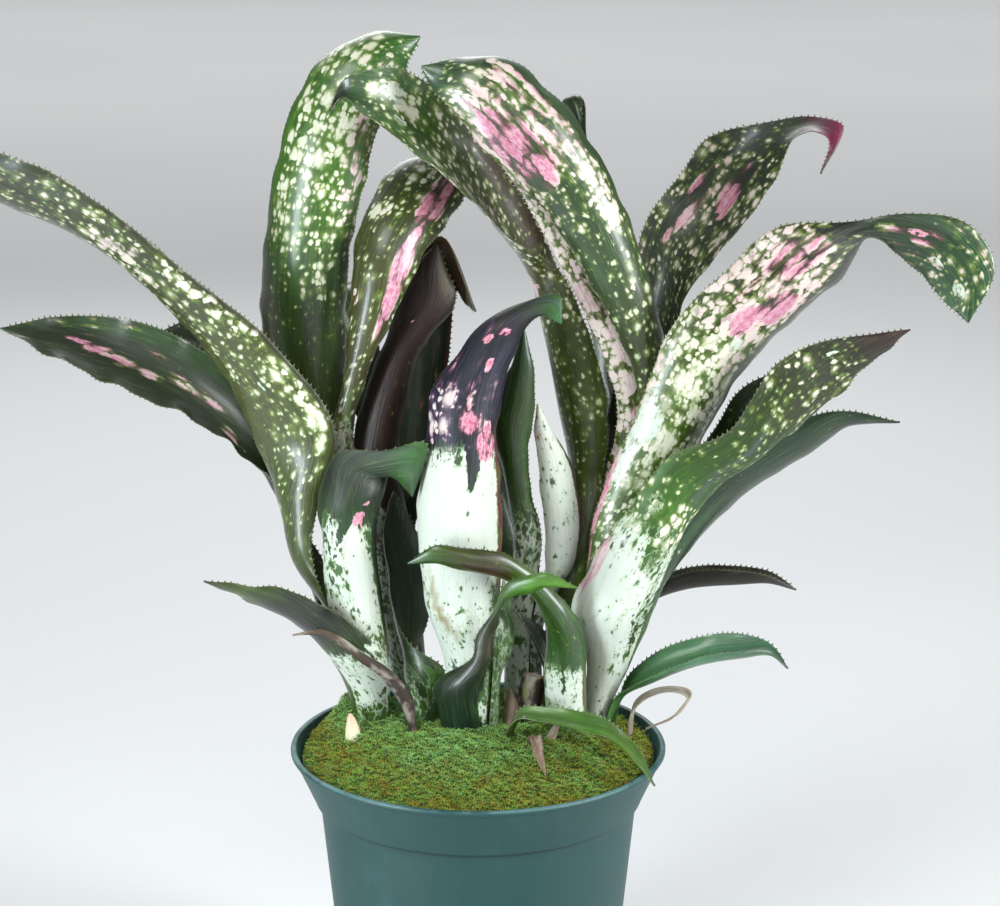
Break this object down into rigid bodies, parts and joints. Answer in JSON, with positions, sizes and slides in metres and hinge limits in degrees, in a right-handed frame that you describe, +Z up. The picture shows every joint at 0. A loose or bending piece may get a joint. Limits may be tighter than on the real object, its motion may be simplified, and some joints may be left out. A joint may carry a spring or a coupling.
{
  "type": "potted bromeliad clump",
  "caption": "Potted clump of a spotted tank bromeliad: tubular shoots of arching, toothed strap leaves with moss over soil, in a flared plastic nursery pot.",
  "frame": {"origin": "centre of the pot's underside", "axes": "+Z up, -Y the side that faces the camera in the picture, +X to that viewer's right"},
  "size_m": [0.4529, 0.2615, 0.447],
  "materials": {
    "pot_plastic": "satin moulded teal green plastic",
    "soil": "dark moist potting mix",
    "moss": "granular yellow-green moss",
    "spotted_leaf": "glossy olive green with dense cream and pink spots",
    "dark_leaf": "glossy dark green with a few pale or pink spots",
    "mottled_leaf": "satin white, mottled with green",
    "plum_leaf": "white below, near-black plum with pink blotches above",
    "fresh_leaf": "satin fresh green",
    "brown_leaf": "satin brown green",
    "dry_leaf": "dry papery brown"
  },
  "bodies": {
    "root": {"pot": "pot_plastic", "soil": "soil", "moss": "moss", "pale_bud": "mottled_leaf", "left_low_leaf": "dark_leaf", "left_white_leaf": "mottled_leaf", "left_arching_leaf": "spotted_leaf", "left_spreading_leaf": "dark_leaf", "tall_left_leaf": "spotted_leaf", "pink_edged_leaf": "spotted_leaf", "brown_green_leaf": "brown_leaf", "dark_arching_leaf": "dark_leaf", "left_rear_leaf": "dark_leaf", "rear_left_arching_leaf": "spotted_leaf", "glossy_dark_leaf": "dark_leaf", "white_plum_leaf": "plum_leaf", "dark_front_leaf": "dark_leaf", "mottled_sheath_leaf": "mottled_leaf", "middle_rear_leaf": "mottled_leaf", "green_tipped_leaf": "dark_leaf", "white_mottled_leaf": "mottled_leaf", "centre_rear_leaf": "dark_leaf", "arching_left_leaf": "spotted_leaf", "great_arching_leaf": "spotted_leaf", "pink_strip_leaf": "spotted_leaf", "right_rear_leaf": "dark_leaf", "rear_curled_leaf": "dark_leaf", "great_spotted_leaf": "spotted_leaf", "right_sheath_leaf": "mottled_leaf", "emerald_leaf": "dark_leaf", "right_inner_leaf": "dark_leaf", "right_low_leaf": "fresh_leaf", "right_short_leaf": "brown_leaf", "pup_leaf": "fresh_leaf", "pup_inner_leaf": "dark_leaf", "trailing_front_leaf": "fresh_leaf", "left_dry_leaf": "dry_leaf", "right_dry_leaf": "dry_leaf", "brown_dry_leaf": "dry_leaf", "tan_bract": "dry_leaf", "papery_scale": "dry_leaf", "dry_strip": "dry_leaf"}
  },
  "joints": []
}
